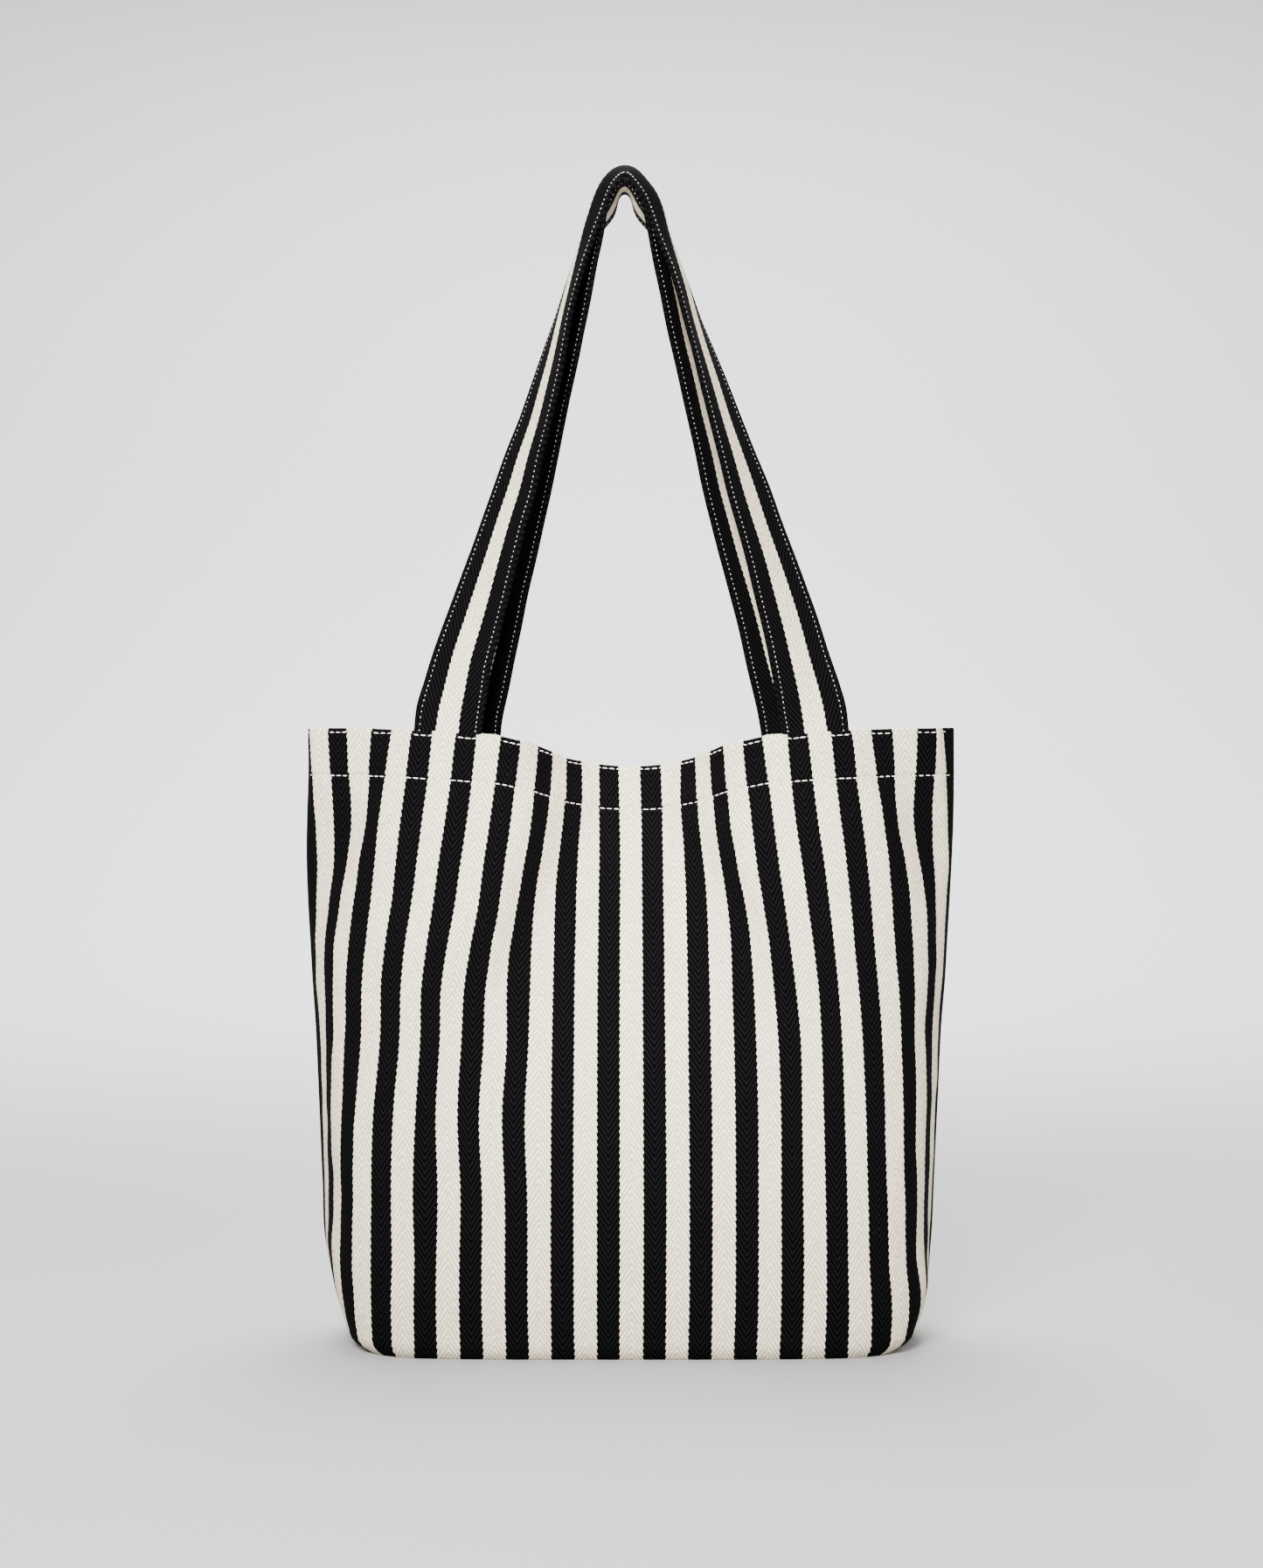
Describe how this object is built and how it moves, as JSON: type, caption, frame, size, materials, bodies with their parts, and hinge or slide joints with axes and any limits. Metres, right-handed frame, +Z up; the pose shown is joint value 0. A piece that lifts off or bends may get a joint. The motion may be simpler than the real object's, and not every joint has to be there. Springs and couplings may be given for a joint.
{
  "type": "canvas tote bag",
  "caption": "Open-topped boxed-base canvas tote in black and off-white vertical stripes, with turned hem and long shoulder straps that fold out over the rim.",
  "frame": {"origin": "middle of the flat base, on the surface the bag stands on", "axes": "+Z up; -Y is the front panel; +X is the viewer's right of someone facing the front"},
  "size_m": [0.3797, 0.1404, 0.6775],
  "materials": {
    "canvas": "herringbone cotton canvas in vertical stripes, warm off-white and black, matt",
    "strap_canvas": "the same striped canvas, folded and edge stitched, black at both edges",
    "thread": "off-white sewing thread",
    "binding_tape": "plain cotton tape, matt"
  },
  "bodies": {
    "bag": {"front_panel": "canvas", "back_panel": "canvas", "front_hem": "canvas", "back_hem": "canvas", "front_strap_left_end": "strap_canvas", "front_strap_right_end": "strap_canvas", "back_strap_left_end": "strap_canvas", "back_strap_right_end": "strap_canvas", "side_seam_binding_left": "binding_tape", "side_seam_binding_right": "binding_tape", "base_seam_binding": "binding_tape", "corner_binding_left": "binding_tape", "corner_binding_right": "binding_tape", "front_rim_stitching": "thread", "back_rim_stitching": "thread", "front_hem_stitching": "thread", "back_hem_stitching": "thread"},
    "front_handle": {"front_strap": "strap_canvas", "front_strap_stitching": "thread"},
    "back_handle": {"back_strap": "strap_canvas", "back_strap_stitching": "thread"}
  },
  "joints": [
    {"name": "front_strap_fold", "type": "hinge", "parent": "bag", "child": "front_handle", "pos_m": [0, -0.0225, 0.3525], "axis": [1, 0, 0], "range_deg": [0, 170]},
    {"name": "back_strap_fold", "type": "hinge", "parent": "bag", "child": "back_handle", "pos_m": [0, 0.028, 0.3525], "axis": [-1, 0, 0], "range_deg": [0, 158]}
  ]
}
